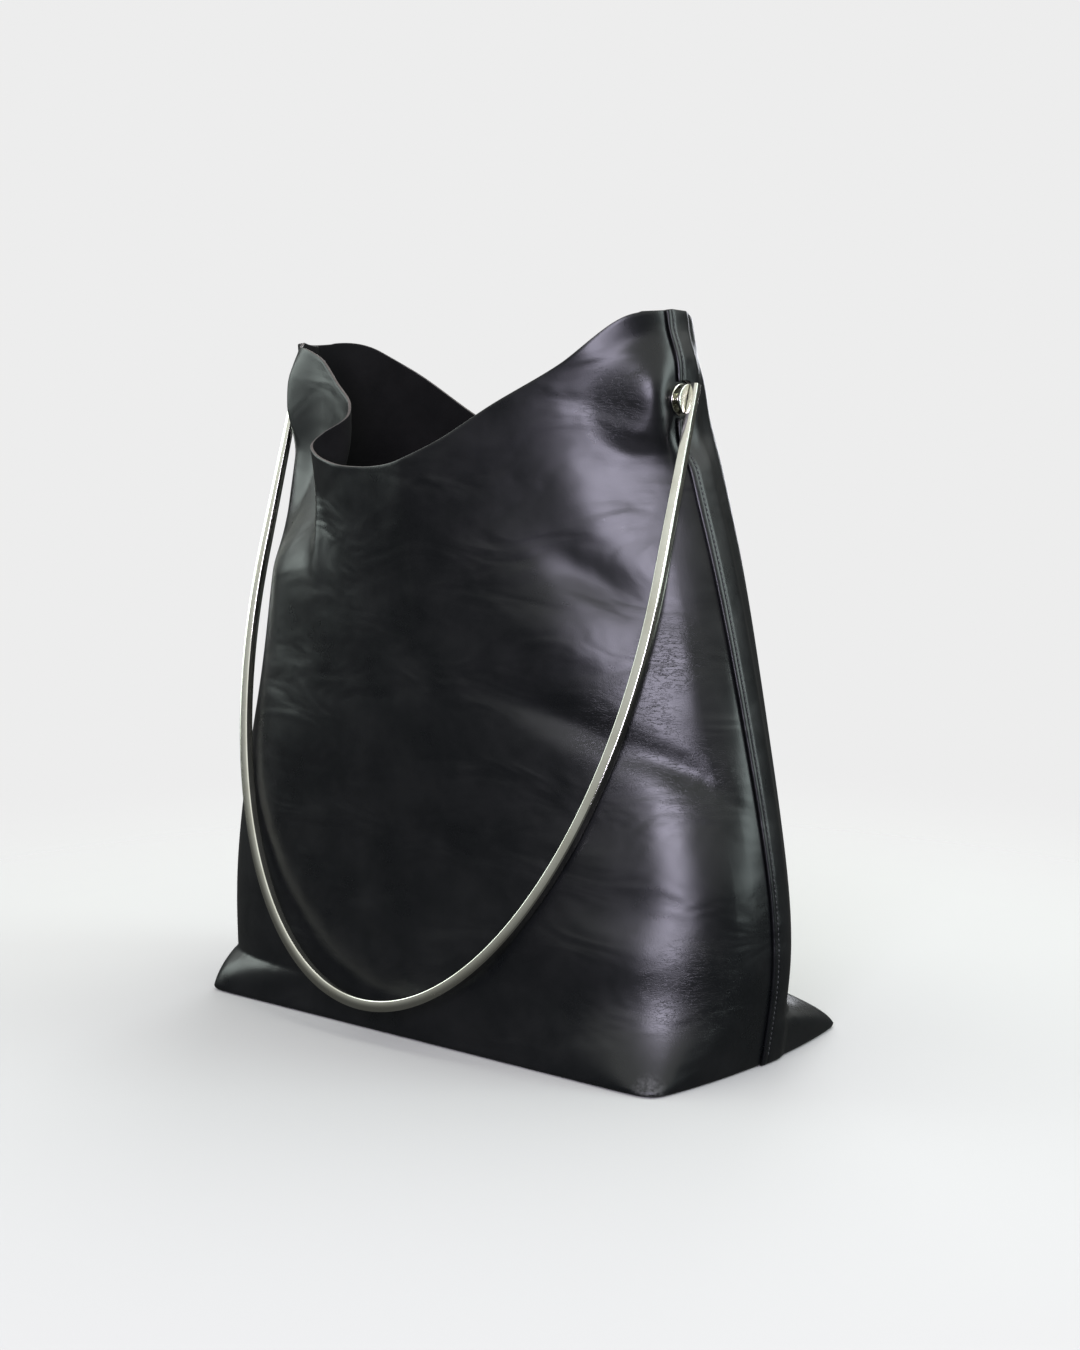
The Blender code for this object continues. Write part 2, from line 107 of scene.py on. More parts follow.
# Height profiles, as in the CAD: (height, value)
SEAM_RIGHT = ((0, 0.190), (0.06, 0.1978), (0.15, 0.1947), (0.25, 0.1785), (0.30, 0.1663), (0.36, 0.1481),
              (PIVOT_HEIGHT, 0.1355), (BAG_HEIGHT, 0.127))
SEAM_LEFT = ((0, -0.190), (0.06, -0.1978), (0.15, -0.2014), (0.25, -0.1972), (0.30, -0.1969), (0.36, -0.1932),
             (PIVOT_HEIGHT, -0.1895), (BAG_HEIGHT, -0.192))
FRONT_DEPTH = ((0, 0.100), (0.05, 0.0945), (0.10, 0.0901), (0.20, 0.0842), (0.30, 0.0814), (0.36, 0.0818),
               (BAG_HEIGHT, 0.0703))
BACK_DEPTH = ((0, 0.100), (0.05, 0.098), (0.10, 0.0941), (0.20, 0.088), (0.30, 0.085), (0.36, 0.088),
              (BAG_HEIGHT, 0.077))
BULGE_SHARE = ((0, 1.0), (0.06, 1.0), (0.20, 0.0), (BAG_HEIGHT, 0.0))
FULLNESS = {
    ("front", "right"): ((0, 0.84), (0.05, 0.825), (0.10, 0.795), (0.15, 0.735), (0.20, 0.69), (0.25, 0.655),
                         (0.30, 0.625), (0.36, 0.60), (PIVOT_HEIGHT, 0.64), (BAG_HEIGHT, 0.69)),
    ("front", "left"): ((0, 0.88), (0.08, 0.873), (0.20, 0.812), (0.29, 0.75), (0.36, 0.647),
                        (BAG_HEIGHT, 0.578)),
    ("back", "right"): ((0, 0.72), (0.08, 0.727), (0.20, 0.744), (0.30, 0.764), (BAG_HEIGHT, 0.757)),
    ("back", "left"): ((0, 0.80), (0.08, 0.791), (0.20, 0.761), (0.30, 0.741), (BAG_HEIGHT, 0.744)),
}

# How far the cut mouth dips below the ears, as (share of the way from right seam to left, dip)
MOUTH_DIP = {
    "front": ((0, 0), (0.08, 0.0036), (0.20, 0.0328), (0.32, 0.0567), (0.44, 0.0823), (0.56, 0.0965),
              (0.68, 0.086), (0.80, 0.0518), (0.92, 0.013), (1.0, 0)),
    "back": ((0, 0), (0.08, 0.004), (0.20, 0.035), (0.35, 0.0715), (0.50, 0.086), (0.65, 0.0746),
             (0.80, 0.035), (0.92, 0.0093), (1.0, 0)),
}

# The front panel's mouth is folded in beside the left seam: (share of the way from right seam to left, X, Y)
FOLD_LINE = ((0.50, -0.038, -0.080), (0.56, -0.0656, -0.0806), (0.62, -0.093, -0.0777),
             (0.66, -0.1122, -0.0702), (0.69, -0.1192, -0.0642), (0.72, -0.1157, -0.0557),
             (0.75, -0.107, -0.0445), (0.78, -0.110, -0.0375), (0.83, -0.1315, -0.029),
             (0.90, -0.1615, -0.0185), (0.96, -0.183, -0.007), (1.0, -0.192, 0.0))
FOLD_START = 0.285
FOLD_FULL = 0.385
FOLD_ENTRY = (0.50, 0.60)
FOLD_RELEASE = (0.88, 0.965)

# Fine grid of the leather
FOOT_ROLL = 0.0025
FOOT_HEM = 0.0060
BASE_GAP = 0.0016
BASE_LIFT = 0.0002
BASE_POINTS = 120
EAR_ROWS = np.linspace(FOOT_ROLL, 0.030, 18)
WALL_ROWS = np.linspace(0.0325, BAG_HEIGHT, 152)
LEVELS = np.linspace(0.0, BAG_HEIGHT, 420)
LENGTH_LEVELS = np.linspace(0.0, BAG_HEIGHT, 24)
COLUMN_SPACING = 0.0021
ARC_SAMPLES = 721
ARC_OVERRUN = 0.7
FOOT_STEPS = 5
EDGE_ROUND = 0.0005
EDGE_KNEE = 0.3
LAP_COLUMNS = (0.0, 0.0004, 0.0010, 0.0018, 0.0026, 0.0032, 0.0036, 0.0040, 0.0044, 0.0048, 0.0056, 0.0068,
               0.0085, 0.0105, 0.0130, 0.0155, 0.0180, 0.0205, 0.0230, 0.0255, 0.0280)
MARGIN_COLUMNS = (0.0, 0.0045, 0.0090, 0.0130, 0.0150, 0.0170, 0.0190, 0.0210, 0.0230, 0.0255, 0.0280, 0.0305,
                  0.0330)
SWELL_SEAM_FADE = (0.010, 0.035)
SWELL_FOOT_FADE = (0.020, 0.060)
PANEL_LENGTH = 0.48

# Seam stitches, in a groove along the lap
GROOVE = 0.0004
GROOVE_WIDTH = 0.0007
STITCH_PITCH = 0.0033
STITCH_LENGTH = 0.0025
STITCH_RADIUS = 0.00038
STITCH_LIFT = 0.35 * STITCH_RADIUS
STITCH_DIP = 0.9 * STITCH_RADIUS
STITCH_TIP = 0.04
STITCH_STEP = 0.001
STITCH_LOW = 0.006
STITCH_HIGH = BAG_HEIGHT - 0.003
STITCH_ROWS = 700
STITCH_CLEAR = 0.002

# Handle and pivots
HOOP_OFFSET = 0.0095
HOOP_CENTRE = (PIVOT_WALL["right"] + PIVOT_WALL["left"]) / 2
HOOP_HALF_WIDTH = (PIVOT_WALL["right"] - PIVOT_WALL["left"]) / 2 + HOOP_OFFSET
HOOP_LEG = 0.110
HOOP_DROP = 0.288
HOOP_END = 0.010
HOOP_TILT = math.radians(17)
BAR_WIDTH = 0.0070
BAR_DEPTH = 0.0062
BAR_CORNER = 0.0009
BAR_END_SCALE = 0.76
BAR_TIP_SCALE = 0.90
BAR_TAPER = 0.130
BOW_POINTS = 400
LEG_POINTS = 40
NOTCH_RADIUS = 0.0115
HOLE_RADIUS = 0.0048
SHAFT_RADIUS = 0.0026
BORE_RADIUS = 0.0029
TUBE_RADIUS = 0.0045
DISC_RADIUS = 0.0095
NECK_RADIUS = 0.0036
HEAD_RADIUS = 0.0060
CORNER_LIMIT = 0.45
SHARP_ANGLE = math.radians(40)
TURN_SEGMENTS = 96
CUTTER_SEGMENTS = 64
CUTTER_LENGTH = 0.03
CUTTER_TURN = math.radians(1.7)


def blend(low, high, at):
    """Smoothly from 0 at low to 1 at high."""
    t = np.clip((np.asarray(at, float) - low) / (high - low), 0.0, 1.0)
    return t * t * (3 - 2 * t)


def along(knots, at):
    """A smooth curve through (position, value) knots, read at one position or at an array of them."""
    x, y = np.array(knots, float).T
    at = np.asarray(at, float)
    slope = np.gradient(y, x)
    i = np.clip(np.searchsorted(x, at) - 1, 0, len(x) - 2)
    step = x[i + 1] - x[i]
    t = np.clip((at - x[i]) / step, 0, 1)
    start = (1 + 2 * t) * (1 - t) ** 2 * y[i] + t * (1 - t) ** 2 * step * slope[i]
    return start + t * t * (3 - 2 * t) * y[i + 1] + t * t * (t - 1) * step * slope[i + 1]


# ----------------------------------------------------------------------------------------------------
# The bag's surface
# ----------------------------------------------------------------------------------------------------


def corner_power(side, end, z):
    """The superellipse power of one corner: full at the base's ears, the body's own fullness above them."""
    body = along(FULLNESS[side, end], z)
    height, round_power, sweep = EAR_SOFT if (side, end) == ("front", "right") else EAR_FOLDED
    flare = max(0.0, 1 - (z / height) ** round_power) ** sweep
    return -math.log(2) / math.log(body + (EAR_FULLNESS - body) * flare)


def section(side, z):
    """Points round one panel's outer surface at a height, and each one's distance from the right seam."""
    turn = np.linspace(-ARC_OVERRUN, math.pi + ARC_OVERRUN, ARC_SAMPLES)
    cos, sin = np.cos(turn), np.sin(turn)
    right, left = along(SEAM_RIGHT, z), along(SEAM_LEFT, z)
    centre, half = (right + left) / 2, (right - left) / 2
    depths = {"front": along(FRONT_DEPTH, z), "back": along(BACK_DEPTH, z)}
    other = {"front": "back", "back": "front"}[side]
    depth = np.where(sin >= 0, depths[side], depths[other])
    near = np.where(cos >= 0, corner_power(side, "right", z), corner_power(side, "left", z))
    far = np.where(cos >= 0, corner_power(other, "right", z), corner_power(other, "left", z))
    power = np.where(sin >= 0, near, far)
    radius = ((np.abs(cos) / half) ** power + (np.abs(sin) / depth) ** power) ** (-1 / power)
    bulge = SIDE_BULGE * along(BULGE_SHARE, z)
    reach = radius * cos / half
    x = centre + radius * cos + bulge * reach * (1 - (radius * sin / depth) ** 2)
    y = radius * sin * (-1 if side == "front" else 1)
    distance = np.concatenate([[0], np.cumsum(np.hypot(np.diff(x), np.diff(y)))])
    distance -= np.interp(0, turn, distance)
    return x, y, distance, np.interp(math.pi, turn, distance)


def stations(side):
    """(share, extra distance) of each grid column from past the right seam to past the left one."""
    if side == "front":
        extras = [at - LAP_MARGIN for at in MARGIN_COLUMNS]
    else:
        extras = [at - LAP_EDGE for at in LAP_COLUMNS]
    lengths = [section(side, z)[3] for z in LENGTH_LEVELS]
    first = (extras[-1] + COLUMN_SPACING) / min(lengths)
    count = round((1 - 2 * first) * max(lengths) / COLUMN_SPACING)
    shares = np.linspace(first, 1 - first, count + 1)
    right = [(0.0, extra) for extra in extras]
    return right + [(share, 0.0) for share in shares] + [(1.0, -extra) for extra in reversed(extras)]


def mouth_share(share, extra, length):
    """The share that the cut mouth's height is read at: it mirrors past each seam."""
    place = share + extra / length
    return 1 - abs(1 - abs(place))


def row_heights(side, rows, place):
    """Each row's height at one column. The upper rows follow the cut mouth, and the left ear's tip sags."""
    dip = along(MOUTH_DIP[side], place)
    above_pivot = np.maximum(rows - SAG_START, 0) / (BAG_HEIGHT - SAG_START)
    sag = LEFT_EAR_SAG * (1 - blend(0.0, SAG_SHARE, 1 - place)) * above_pivot
    upper = rows - dip * (rows - LOW_ROWS) / (BAG_HEIGHT - LOW_ROWS) - sag
    return np.where(rows <= LOW_ROWS, rows, upper)


def folded(grid, place):
    """The front panel's mouth fold beside the left seam, full at the mouth and gone lower down."""
    shares, xs, ys = np.array(FOLD_LINE).T
    beside = blend(*FOLD_ENTRY, place) * (1 - blend(*FOLD_RELEASE, place))
    weight = blend(FOLD_START, FOLD_FULL, grid[:, :, 2]) * beside
    for axis, values in enumerate((xs, ys)):
        target = along(np.stack([shares, values], 1), np.clip(place, shares[0], shares[-1]))
        grid[:, :, axis] += weight * (target - grid[:, :, axis])


def flattened(grid):
    """Leather is clamped flat round each pivot."""
    for wall in PIVOT_WALL.values():
        away = np.hypot(grid[:, :, 1], grid[:, :, 2] - PIVOT_HEIGHT)
        beside = 1 - blend(FLAT_DEEP, FLAT_REACH, np.abs(grid[:, :, 0] - wall))
        weight = (1 - blend(FLAT_HALF, FLAT_FADE, away)) * beside
        grid[:, :, 0] += weight * (wall - grid[:, :, 0])


def surface_grid(side, rows):
    """One panel's outer surface on a grid of rows by columns.

    Returns the points, their normals, each column's share of the way from the right seam to the left one, and
    its distance inside the nearer seam, which is below 0 past the seam.
    """
    columns = stations(side)
    table = np.empty((len(LEVELS), len(columns), 2))
    lengths = np.empty(len(LEVELS))
    for i, z in enumerate(LEVELS):
        x, y, distance, length = section(side, z)
        at = np.array([share * length + extra for share, extra in columns])
        table[i, :, 0] = np.interp(at, distance, x)
        table[i, :, 1] = np.interp(at, distance, y)
        lengths[i] = length
    mean = float(np.mean(lengths))
    grid = np.empty((len(rows), len(columns), 3))
    place = np.empty(len(columns))
    inside = np.empty(len(columns))
    for c, (share, extra) in enumerate(columns):
        place[c] = share + extra / mean
        inside[c] = extra if share == 0 else -extra if share == 1 else min(share, 1 - share) * mean
        heights = row_heights(side, rows, mouth_share(share, extra, mean))
        for axis in range(2):
            grid[:, c, axis] = np.interp(heights, LEVELS, table[:, c, axis])
        grid[:, c, 2] = heights
    if side == "front":
        folded(grid, place)
    flattened(grid)
    up = np.gradient(grid, axis=0)
    across = np.gradient(grid, axis=1)
    normals = np.cross(up, across) * (1 if side == "front" else -1)
    normals /= np.linalg.norm(normals, axis=2)[:, :, None]
    return grid, normals, place, inside


# Soft dents and swells: (side, share, height, reach across, reach up, depth outwards, rise towards the left)
SWELLS = (
    ("front", 0.150, 0.432, 0.022, 0.014, 0.0014, 0.0),
    ("front", 0.130, 0.398, 0.026, 0.009, -0.0014, 0.1),
    ("front", 0.200, 0.350, 0.030, 0.024, 0.0016, 0.3),
    ("front", 0.185, 0.296, 0.034, 0.015, -0.0030, 0.4),
    ("front", 0.260, 0.262, 0.034, 0.024, 0.0024, 0.2),
    ("front", 0.060, 0.240, 0.022, 0.034, 0.0018, 0.0),
    ("front", 0.215, 0.205, 0.052, 0.012, -0.0034, 0.35),
    ("front", 0.085, 0.180, 0.026, 0.010, -0.0020, 0.5),
    ("front", 0.235, 0.152, 0.036, 0.028, -0.0012, 0.2),
    ("front", 0.120, 0.140, 0.028, 0.030, 0.0016, 0.2),
    ("front", 0.170, 0.100, 0.040, 0.018, -0.0022, 0.1),
    ("front", 0.255, 0.075, 0.050, 0.024, 0.0016, 0.0),
    ("front", 0.420, 0.110, 0.080, 0.040, -0.0016, 0.1),
    ("front", 0.470, 0.260, 0.060, 0.050, -0.0016, 0.2),
    ("front", 0.560, 0.190, 0.070, 0.060, 0.0018, 0.0),
    ("front", 0.680, 0.120, 0.060, 0.060, -0.0014, 0.0),
    ("front", 0.700, 0.322, 0.010, 0.040, 0.0022, 0.0),
    ("front", 0.760, 0.250, 0.030, 0.050, -0.0022, 0.0),
    ("back", 0.300, 0.300, 0.060, 0.040, 0.0018, 0.1),
    ("back", 0.420, 0.210, 0.070, 0.030, -0.0026, -0.1),
    ("back", 0.620, 0.270, 0.060, 0.040, 0.0020, 0.1),
    ("back", 0.550, 0.110, 0.080, 0.036, -0.0022, 0.0),
    ("back", 0.780, 0.160, 0.050, 0.050, 0.0016, 0.0),
)


def relief(side, grid, place):
    """How far the leather stands in or out of its smooth shape, by soft swells."""
    out = np.zeros(grid.shape[:2])
    height = grid[:, :, 2]
    for where, share, z, across, up, depth, rise in SWELLS:
        if where == side:
            aside = (place - share)[None, :] * PANEL_LENGTH
            out += depth * np.exp(-((aside / across) ** 2) - ((height - z - rise * aside) / up) ** 2)
    return out


def lap_profile(side, inside):
    """How far the back panel stands out over the front one's margin, with its groove and rounded edge."""
    if side == "front":
        return np.zeros_like(inside)
    raised = (LAP_GAP + LEATHER) * (1 - blend(LAP_MARGIN, LAP_RELEASE, inside))
    groove = GROOVE * np.exp(-((inside / GROOVE_WIDTH) ** 2))
    edge = EDGE_ROUND * (1 - blend(-LAP_EDGE, -LAP_EDGE + LAP_EDGE_SOFT, inside))
    return raised - groove - edge


def mesh_object(name, points, faces, materials, indices=None):
    """A smooth-shaded mesh, with one material slot index for each face if they are given."""
    mesh = bpy.data.meshes.new(name)
    mesh.from_pydata(np.asarray(points, float).tolist(), [], [tuple(map(int, face)) for face in faces])
    for material in materials:
        mesh.materials.append(material)
    if indices is not None:
        mesh.polygons.foreach_set("material_index", np.asarray(indices, np.int32))
    mesh.shade_smooth()
    made = bpy.data.objects.new(name, mesh)
    bpy.context.scene.collection.objects.link(made)
    return made


def face_outwards(made):
    """Turns every face of a closed mesh to its outside."""
    work = bmesh.new()
    work.from_mesh(made.data)
    bmesh.ops.recalc_face_normals(work, faces=work.faces)
    work.to_mesh(made.data)
    work.free()


def inset(points, distance):
    """Points of the foot moved in towards the base's middle."""
    scale = np.array([1 - distance / (BASE_WIDTH / 2), 1 - distance / (BASE_DEPTH / 2), 1.0])
    return points * scale


def foot_rings(foot, hem_reach):
    """Rings from the hem's edge inside the bag, round the rolled foot, to the start of the outer face."""
    rings = []
    for z in (LEATHER, 0.0):
        ring = np.array([inset(point, reach) for point, reach in zip(foot, hem_reach)])
        ring[:, 2] = z
        rings.append(ring)
    for k in range(FOOT_STEPS):
        turn = math.radians(90 - 90 * k / (FOOT_STEPS - 1))
        ring = inset(foot, FOOT_ROLL * (1 - math.cos(turn)))
        ring[:, 2] = FOOT_ROLL * (1 - math.sin(turn))
        rings.append(ring)
    return rings


def edge_rings(top, normals):
    """Rings over the cut mouth edge, whose two corners are slightly rounded."""
    down = np.array([0, 0, EDGE_ROUND])
    return [
        top - down,
        top - down * EDGE_KNEE - normals * EDGE_ROUND * EDGE_KNEE,
        top - normals * EDGE_ROUND,
        top - normals * (LEATHER - EDGE_ROUND),
        top - down * EDGE_KNEE - normals * (LEATHER - EDGE_ROUND * EDGE_KNEE),
        top - down - normals * LEATHER,
    ]


def panel(side, materials):
    """One leather panel as a closed skin: rolled foot, outer face, cut mouth edge, inner face."""
    rows = np.concatenate([EAR_ROWS, WALL_ROWS])
    grid, normals, place, inside = surface_grid(side, rows)
    swell = relief(side, grid, place)
    fade = blend(*SWELL_SEAM_FADE, inside)[None, :] * blend(*SWELL_FOOT_FADE, grid[:, :, 2])
    lift = lap_profile(side, inside)
    outer = grid + normals * (lift[None, :] + swell * fade)[:, :, None]
    inner = outer - normals * LEATHER
    level = normals[0] * np.array([1, 1, 0])
    level /= np.linalg.norm(level, axis=1)[:, None]
    foot = grid[0] + level * lift[:, None]
    if side == "front":
        hem_reach = np.full_like(inside, FOOT_HEM)
    else:
        hem_reach = FOOT_ROLL + (FOOT_HEM - FOOT_ROLL) * blend(LAP_MARGIN, 2 * LAP_RELEASE, inside)
    rings = foot_rings(foot, hem_reach) + list(outer[1:-1])
    edge_start = len(rings)
    rings += edge_rings(outer[-1], normals[-1])
    edge_end = len(rings)
    rings += list(inner[-2:1:-1])
    last = inner[1].copy()
    last[:, 2] = FOOT_ROLL + LEATHER
    rings.append(last)
    return panel_mesh(side, np.array(rings), edge_start, edge_end, materials)


def panel_mesh(side, rings, edge_start, edge_end, materials):
    """Faces between the rings, with the cut edge in the raw leather and the inner face in the flesh side."""
    face, cut, flesh = range(3)
    index = np.arange(rings.shape[0] * rings.shape[1]).reshape(rings.shape[:2])
    steps = rings.shape[1] - 1
    faces, slots = [], []
    for r, ring in enumerate(index):
        after = index[(r + 1) % len(index)]
        quads = np.stack([ring[:-1], ring[1:], after[1:], after[:-1]], axis=1)
        faces.extend(quads.tolist())
        if edge_start < r < edge_end - 2:
            slot = cut
        else:
            slot = flesh if r >= edge_end - 1 else face
        slots.extend([slot] * steps)
    for column in (0, steps):
        walls = end_wall(index[:, column], edge_start)
        faces.extend(walls)
        slots.extend([face] * len(walls))
    made = mesh_object(f"{side}_leather", rings.reshape(-1, 3), faces, materials, slots)
    face_outwards(made)
    return made


def end_wall(column, edge_start):
    """Faces that close one end of a panel, between the outer rings' points and the inner rings' points."""
    outer = list(column[1:edge_start + 3])
    inner = [column[0]] + list(column[:edge_start + 2:-1])
    shared = min(len(outer), len(inner))
    faces = []
    for k in range(shared - 1):
        faces.append([outer[k], outer[k + 1], inner[k + 1], inner[k]])
    longer, shorter = (outer, inner) if len(outer) > len(inner) else (inner, outer)
    for k in range(shared - 1, len(longer) - 1):
        faces.append([longer[k], longer[k + 1], shorter[-1]])
    return faces


# ----------------------------------------------------------------------------------------------------
# Materials
# ----------------------------------------------------------------------------------------------------


class Nodes:
    """Short calls for building one material's node tree."""

    def __init__(self, name):
        self.material = bpy.data.materials.new(name)
        self.material.use_nodes = True
        self.tree = self.material.node_tree
        self.shader = self.tree.nodes["Principled BSDF"]
        self.position = self.add("ShaderNodeTexCoord").outputs["Object"]

    def add(self, kind, **settings):
        node = self.tree.nodes.new(kind)
        for key, value in settings.items():
            setattr(node, key, value)
        return node

    def link(self, output, socket):
        self.tree.links.new(output, socket)

    def set(self, **values):
        for key, value in values.items():
            self.shader.inputs[key.replace("_", " ")].default_value = value

    def noise(self, scale, detail=3.0, roughness=0.5, stretch=None, distortion=0.0):
        node = self.add("ShaderNodeTexNoise")
        node.inputs["Scale"].default_value = scale
        node.inputs["Detail"].default_value = detail
        node.inputs["Roughness"].default_value = roughness
        node.inputs["Distortion"].default_value = distortion
        self.link(self.stretched(stretch), node.inputs["Vector"])
        return node.outputs["Fac"]

    def stretched(self, stretch):
        if stretch is None:
            return self.position
        node = self.add("ShaderNodeMapping")
        node.inputs["Scale"].default_value = stretch
        self.link(self.position, node.inputs["Vector"])
        return node.outputs["Vector"]

    def cells(self, scale):
        node = self.add("ShaderNodeTexVoronoi", feature="F1")
        node.inputs["Scale"].default_value = scale
        self.link(self.position, node.inputs["Vector"])
        return node.outputs["Distance"]

    def remap(self, value, low, high, to_low=0.0, to_high=1.0):
        node = self.add("ShaderNodeMapRange", interpolation_type="SMOOTHSTEP")
        ends = {"From Min": low, "From Max": high, "To Min": to_low, "To Max": to_high}
        for socket, number in ends.items():
            node.inputs[socket].default_value = number
        self.link(value, node.inputs["Value"])
        return node.outputs["Result"]

    def maths(self, operation, first, second):
        node = self.add("ShaderNodeMath", operation=operation)
        for socket, value in zip(node.inputs, (first, second)):
            if isinstance(value, (int, float)):
                socket.default_value = value
            else:
                self.link(value, socket)
        return node.outputs["Value"]

    def near(self, centre, reach, core=0.0):
        """1 close to a place, 0 further away than reach."""
        node = self.add("ShaderNodeVectorMath", operation="DISTANCE")
        node.inputs[1].default_value = centre
        self.link(self.position, node.inputs[0])
        return self.remap(node.outputs["Value"], core, reach, 1.0, 0.0)

    def mix_colour(self, fac, first, second):
        node = self.add("ShaderNodeMix", data_type="RGBA")
        self.link(fac, node.inputs["Factor"])
        for socket, value in ((node.inputs[6], first), (node.inputs[7], second)):
            if isinstance(value, tuple):
                socket.default_value = (*value, 1)
            else:
                self.link(value, socket)
        return node.outputs[2]

    def bump(self, layers):
        """Chained bumps: (height, strength, distance in metres)."""
        normal = None
        for height, strength, distance in layers:
            node = self.add("ShaderNodeBump")
            node.inputs["Strength"].default_value = strength
            node.inputs["Distance"].default_value = distance
            self.link(height, node.inputs["Height"])
            if normal is not None:
                self.link(normal, node.inputs["Normal"])
            normal = node.outputs["Normal"]
        self.link(normal, self.shader.inputs["Normal"])


# The scuffed tip of the base's near corner
CORNER_TIP = Vector((0.186, -0.097, 0.004))

# Where the leather is finely wrinkled: (place, reach)
WRINKLED = (
    ((0.112, -0.035, 0.402), 0.030),
    ((0.155, -0.032, 0.252), 0.032),
    ((0.135, -0.052, 0.205), 0.045),
    ((0.175, -0.032, 0.178), 0.035),
    ((0.188, -0.055, 0.055), 0.042),
)


def wrinkles(n):
    """Fine broken lines, near the places where the leather has been bent."""
    mask = None
    for centre, reach in WRINKLED:
        spot = n.near(centre, reach, 0.3 * reach)
        mask = spot if mask is None else n.maths("MAXIMUM", mask, spot)
    waves = n.noise(1.0, 3, 0.6, stretch=(130, 130, 520), distortion=0.4)
    line = n.remap(n.maths("ABSOLUTE", n.maths("SUBTRACT", waves, 0.5), 0.0), 0.0, 0.035, 0.0, 1.0)
    return n.maths("SUBTRACT", 1.0, n.maths("MULTIPLY", mask, n.maths("SUBTRACT", 1.0, line)))


def glossy_leather():
    """Smooth black leather: pores, faint mottling, wrinkles where it bends, and one scuffed tip."""
    n = Nodes("glossy_leather")
    n.set(IOR=1.48)
    mottle = n.noise(26, 4, 0.6)
    pores = n.cells(1500)
    grain = n.noise(900, 2, 0.5)
    waves = n.noise(1.0, 2, 0.5, stretch=(14, 14, 30), distortion=0.8)
    scuff = n.maths("MULTIPLY", n.near(CORNER_TIP, 0.014, 0.002), n.remap(n.noise(380, 3), 0.30, 0.75))
    colour = n.mix_colour(n.remap(mottle, 0.3, 0.7), (0.0036, 0.0042, 0.0048), (0.0060, 0.0063, 0.0070))
    n.link(n.mix_colour(scuff, colour, (0.07, 0.07, 0.07)), n.shader.inputs["Base Color"])
    rough = n.remap(mottle, 0.25, 0.75, 0.26, 0.36)
    rough = n.maths("ADD", rough, n.maths("MULTIPLY", scuff, 0.30))
    n.link(rough, n.shader.inputs["Roughness"])
    n.bump(((waves, 0.5, 0.0030), (wrinkles(n), 0.22, 0.0003), (mottle, 0.20, 0.0004), (pores, 0.10, 0.0002),
            (grain, 0.10, 0.0001)))
    return n.material


def raw_edge():
    """Cut leather edge: brown-grey fibres."""
    n = Nodes("raw_leather_edge")
    n.set(Roughness=0.8)
    fibres = n.noise(1400, 4, 0.7)
    n.link(n.mix_colour(n.remap(fibres, 0.3, 0.7), (0.045, 0.040, 0.038), (0.120, 0.098, 0.088)),
           n.shader.inputs["Base Color"])
    n.bump(((fibres, 0.4, 0.0003),))
    return n.material


def flesh_side():
    """The leather's brushed inner face."""
    n = Nodes("leather_flesh_side")
    n.set(Roughness=0.95, Specular_IOR_Level=0.2)
    nap = n.noise(1100, 4, 0.7)
    blotch = n.noise(35, 3, 0.6)
    n.link(n.mix_colour(n.remap(blotch, 0.3, 0.7), (0.0030, 0.0030, 0.0030), (0.0060, 0.0058, 0.0058)),
           n.shader.inputs["Base Color"])
    n.bump(((nap, 0.35, 0.0003),))
    return n.material


def waxed_thread():
    """Black thread with a faint twist."""
    n = Nodes("waxed_thread")
    n.set(Roughness=0.45)
    twist = n.noise(2600, 2, 0.5, stretch=(1, 1, 0.5))
    n.link(n.mix_colour(twist, (0.010, 0.010, 0.011), (0.050, 0.050, 0.053)), n.shader.inputs["Base Color"])
    n.bump(((twist, 0.5, 0.0002),))
    return n.material


def polished_nickel():
    """Polished plating with hairline scratches, faint tarnish and a few pits."""
    n = Nodes("polished_nickel_plate")
    n.set(Metallic=1.0)
    tarnish = n.noise(60, 4, 0.6)
    scratch = n.noise(700, 2, 0.5, stretch=(1, 1, 0.08))
    pits = n.remap(n.cells(420), 0.04, 0.10, 1.0, 0.0)
    pits = n.maths("MULTIPLY", pits, n.remap(n.noise(45, 2), 0.52, 0.62))
    colour = n.mix_colour(n.remap(tarnish, 0.35, 0.75), (0.80, 0.79, 0.72), (0.70, 0.68, 0.60))
    n.link(n.mix_colour(pits, colour, (0.30, 0.27, 0.22)), n.shader.inputs["Base Color"])
    rough = n.remap(tarnish, 0.3, 0.8, 0.07, 0.15)
    n.link(n.maths("ADD", rough, n.maths("MULTIPLY", pits, 0.35)), n.shader.inputs["Roughness"])
    n.bump(((scratch, 0.05, 0.0001), (pits, 0.10, 0.0002)))
    return n.material


def grey_board():
    """The base's stiffener: dark grey fibreboard."""
    n = Nodes("stiffener_board")
    n.set(Roughness=0.9)
    fibres = n.noise(700, 4, 0.7)
    n.link(n.mix_colour(fibres, (0.035, 0.035, 0.035), (0.075, 0.073, 0.070)), n.shader.inputs["Base Color"])
    n.bump(((fibres, 0.3, 0.0003),))
    return n.material


# ----------------------------------------------------------------------------------------------------
# Pieces
# ----------------------------------------------------------------------------------------------------


def cylinder(name, end, radius, material):
    """A hidden cutter across one pivot's wall, turned a little so that no corner lies on the seam line."""
    place = Matrix.Translation((PIVOT_WALL[end], 0, PIVOT_HEIGHT)) @ Matrix.Rotation(math.radians(90), 4, "Y")
    turn = Matrix.Rotation(CUTTER_TURN, 4, "Z")
    work = bmesh.new()
    bmesh.ops.create_cone(work, cap_ends=True, segments=CUTTER_SEGMENTS, radius1=radius, radius2=radius,
                          depth=CUTTER_LENGTH, matrix=place @ turn)
    mesh = bpy.data.meshes.new(name)
    work.to_mesh(mesh)
    work.free()
    mesh.materials.append(material)
    made = bpy.data.objects.new(name, mesh)
    bpy.context.scene.collection.objects.link(made)
    return made


